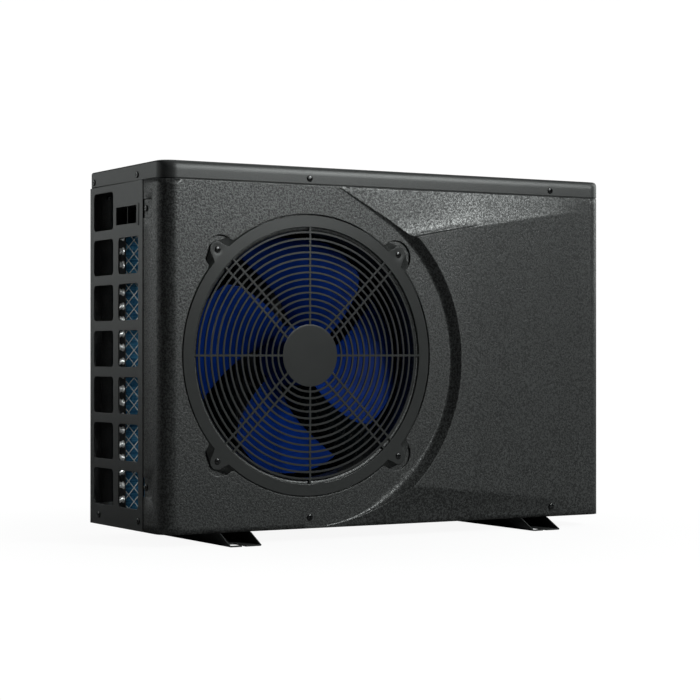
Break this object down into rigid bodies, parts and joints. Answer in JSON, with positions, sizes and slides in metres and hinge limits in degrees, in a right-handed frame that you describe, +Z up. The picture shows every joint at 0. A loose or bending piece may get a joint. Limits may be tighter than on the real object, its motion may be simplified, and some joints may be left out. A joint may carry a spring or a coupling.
{
  "type": "pool heat pump",
  "caption": "Outdoor swimming-pool heat pump: charcoal cabinet with round front fan guard, windowed side grille, flat rear coil, rail feet and side water unions.",
  "frame": {"origin": "centre of the bounding box's footprint, on the ground", "axes": "+X to the right seen from the fan side, the fan faces -Y, +Z up"},
  "size_m": [0.93, 0.366, 0.6207],
  "materials": {
    "casing_front": "charcoal, fine leather grain, satin",
    "casing": "charcoal, fine grain, satin",
    "guard": "charcoal satin powder coat",
    "fan_blue": "deep blue, glossy moulded",
    "zinc_steel": "zinc plated",
    "motor_black": "black enamel",
    "galvanised": "galvanised sheet, dull spangle",
    "foot_black": "black powder coat",
    "black_plastic": "black moulded, fine texture",
    "coated_fins": "blue-green coated fins",
    "return_bends": "bright bends on a plated tube sheet",
    "compressor_paint": "black enamel",
    "rubber": "matt",
    "brass": "turned",
    "copper": "drawn copper pipe, semi-bright",
    "exchanger_shell": "black wound shell",
    "circuit_board": "green board",
    "display_lens": "smoked gloss",
    "button_rubber": "soft touch",
    "black_screw": "blackened pan head"
  },
  "bodies": {
    "cabinet": {"front_panel": "casing_front", "left_grille_panel": "casing", "right_service_panel": "casing", "rear_grille_panel": "casing", "top_cover": "casing", "fan_guard": "guard", "fan_motor": "motor_black", "motor_bracket": "galvanised", "base_pan": "galvanised", "divider_plate": "galvanised", "control_box": "galvanised", "foot_rail_left": "foot_black", "foot_rail_right": "foot_black", "handgrip_left": "black_plastic", "evaporator_coil": "coated_fins", "evaporator_tube_sheet": "return_bends", "compressor": "compressor_paint", "suction_accumulator": "compressor_paint", "compressor_grommet_1": "rubber", "compressor_grommet_2": "rubber", "compressor_grommet_3": "rubber", "reversing_valve": "brass", "expansion_valve": "brass", "discharge_pipe": "copper", "suction_pipe": "copper", "coil_gas_pipe": "copper", "exchanger_gas_pipe": "copper", "coil_liquid_pipe": "copper", "liquid_pipe": "copper", "heat_exchanger": "exchanger_shell", "water_inlet_stub": "black_plastic", "water_outlet_stub": "black_plastic", "control_board": "circuit_board", "terminal_block": "black_plastic", "cable_gland": "black_plastic", "display_housing": "black_plastic", "display_lens": "display_lens", "cover_screw_front_1": "black_screw", "cover_screw_front_2": "black_screw", "panel_screw_bottom_1": "black_screw", "panel_screw_bottom_2": "black_screw", "cover_screw_left_1": "black_screw", "cover_screw_left_2": "black_screw", "grille_screw_bottom_1": "black_screw", "grille_screw_bottom_2": "black_screw", "flange_screw_left_1": "black_screw", "flange_screw_left_2": "black_screw", "guard_screw_1": "black_screw", "guard_screw_2": "black_screw", "guard_screw_3": "black_screw", "guard_screw_4": "black_screw"},
    "fan_rotor": {"fan_impeller": "fan_blue", "fan_shaft": "zinc_steel", "fan_nut": "zinc_steel"},
    "lid": {"display_lid": "display_lens"},
    "down_key": {"button_down": "button_rubber"},
    "up_key": {"button_up": "button_rubber"},
    "power_key": {"button_power": "button_rubber"},
    "inlet_nut": {"union_nut_inlet": "black_plastic"},
    "outlet_nut": {"union_nut_outlet": "black_plastic"}
  },
  "joints": [
    {"name": "fan_spin", "type": "hinge", "parent": "cabinet", "child": "fan_rotor", "pos_m": [-0.1938, -0.083, 0.3073], "axis": [0, 1, 0], "continuous": true},
    {"name": "lid_hinge", "type": "hinge", "parent": "cabinet", "child": "lid", "pos_m": [0.4202, 0.035, 0.5305], "axis": [0, -1, 0], "range_deg": [0, 110]},
    {"name": "down_key_press", "type": "slide", "parent": "cabinet", "child": "down_key", "axis": [-1, 0, 0], "range_m": [0, 0.001]},
    {"name": "up_key_press", "type": "slide", "parent": "cabinet", "child": "up_key", "axis": [-1, 0, 0], "range_m": [0, 0.001]},
    {"name": "power_key_press", "type": "slide", "parent": "cabinet", "child": "power_key", "axis": [-1, 0, 0], "range_m": [0, 0.001]},
    {"name": "inlet_nut_spin", "type": "hinge", "parent": "cabinet", "child": "inlet_nut", "pos_m": [0.411, 0.048, 0.1407], "axis": [1, 0, 0], "continuous": true},
    {"name": "outlet_nut_spin", "type": "hinge", "parent": "cabinet", "child": "outlet_nut", "pos_m": [0.411, 0.048, 0.3207], "axis": [1, 0, 0], "continuous": true}
  ]
}
